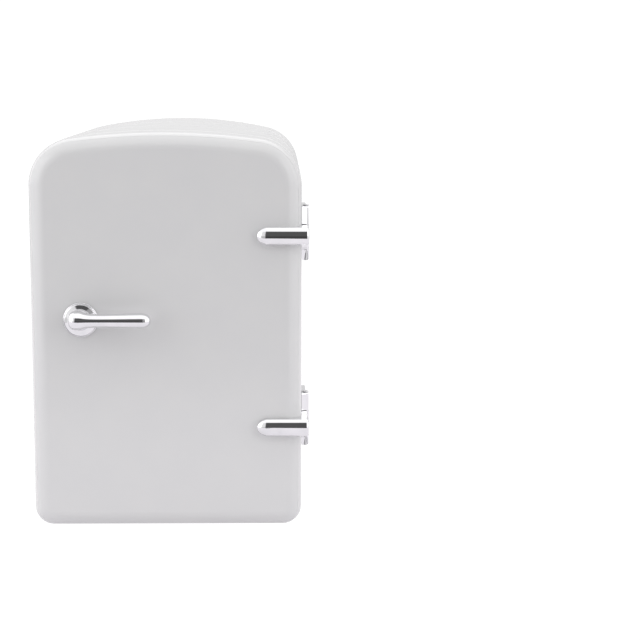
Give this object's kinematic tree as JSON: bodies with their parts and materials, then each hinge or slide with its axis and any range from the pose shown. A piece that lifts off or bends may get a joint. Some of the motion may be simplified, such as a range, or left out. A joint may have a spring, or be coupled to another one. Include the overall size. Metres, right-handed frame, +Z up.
{
  "type": "mini fridge",
  "caption": "Small crowned thermoelectric fridge with a side-hung door, lever latch, shelf and door rack, cooled by a rear fan and heat sink behind a slotted cover.",
  "frame": {"origin": "middle of the overall footprint, on the floor plane under the four feet", "axes": "+Z up; the door faces -Y and its hinges are on the +X side; the rear cover faces +Y"},
  "size_m": [0.19, 0.269, 0.276],
  "materials": {
    "shell_white": "gloss",
    "inner_white": "satin",
    "grey_plastic": "matte",
    "black_plastic": "satin",
    "foam": "matte",
    "chrome": "polished",
    "aluminium": "satin",
    "steel": "satin",
    "rubber_black": "matte",
    "gasket_rubber": "matte",
    "label_paper": "satin",
    "circuit_board": "satin",
    "transformer_tape": "satin",
    "ceramic_white": "satin",
    "lead_black": "satin",
    "lead_white": "satin",
    "lead_red": "satin",
    "rack_clear": "gloss"
  },
  "bodies": {
    "cabinet": {"body_shell": "shell_white", "inner_liner": "inner_white", "cabinet_insulation": "foam", "bay_bulkhead": "grey_plastic", "rear_cover": "shell_white", "rating_label": "label_paper", "latch_keeper": "inner_white", "cold_plate": "aluminium", "cold_plate_screw_1": "steel", "cold_plate_screw_2": "steel", "cold_block": "aluminium", "peltier_module": "ceramic_white", "heat_sink": "aluminium", "fan_frame": "black_plastic", "power_board": "circuit_board", "transformer": "transformer_tape", "board_heat_sink": "black_plastic", "capacitor_1": "black_plastic", "capacitor_2": "black_plastic", "varistor": "ceramic_white", "ac_inlet": "black_plastic", "dc_inlet": "black_plastic", "switch_housing": "black_plastic", "ac_lead": "lead_black", "dc_lead": "lead_black", "module_lead": "lead_white", "fan_lead": "lead_red", "upper_hinge_leaf": "chrome", "upper_hinge_pin": "steel", "upper_leaf_screw_1": "steel", "upper_leaf_screw_2": "steel", "lower_hinge_leaf": "chrome", "lower_hinge_pin": "steel", "lower_leaf_screw_1": "steel", "lower_leaf_screw_2": "steel", "rear_cover_screw_1": "steel", "rear_cover_screw_2": "steel", "rear_cover_screw_3": "steel", "rear_cover_screw_4": "steel", "rear_cover_screw_5": "steel", "rear_cover_screw_6": "steel", "rear_cover_screw_7": "steel", "rear_cover_screw_8": "steel", "foot_1": "rubber_black", "foot_2": "rubber_black", "foot_3": "rubber_black", "foot_4": "rubber_black"},
    "door": {"door_outer_shell": "shell_white", "door_insulation": "foam", "door_inner_panel": "inner_white", "door_gasket": "gasket_rubber", "door_rack": "rack_clear", "upper_hinge_strap": "chrome", "lower_hinge_strap": "chrome", "handle_rosette": "chrome"},
    "handle": {"handle_lever": "chrome", "latch_hook": "steel"},
    "fan": {"fan_rotor": "black_plastic"},
    "mode_switch": {"mode_rocker": "black_plastic"},
    "shelf": {"shelf": "inner_white"}
  },
  "joints": [
    {"name": "door_hinge", "type": "hinge", "parent": "cabinet", "child": "door", "pos_m": [0.0922, -0.0805, 0.1412], "axis": [0, 0, 1], "range_deg": [0, 110]},
    {"name": "handle_turn", "type": "hinge", "parent": "door", "child": "handle", "pos_m": [-0.0604, -0.1135, 0.15], "axis": [0, 1, 0], "range_deg": [0, 90]},
    {"name": "fan_spin", "type": "hinge", "parent": "cabinet", "child": "fan", "pos_m": [-0.003, 0.1175, 0.1695], "axis": [0, 1, 0], "continuous": true},
    {"name": "mode_switch_rock", "type": "hinge", "parent": "cabinet", "child": "mode_switch", "pos_m": [0.085, 0.1075, 0.083], "axis": [0, 1, 0], "range_deg": [-12, 12]},
    {"name": "shelf_slide", "type": "slide", "parent": "cabinet", "child": "shelf", "axis": [0, -1, 0], "range_m": [0, 0.015]}
  ]
}
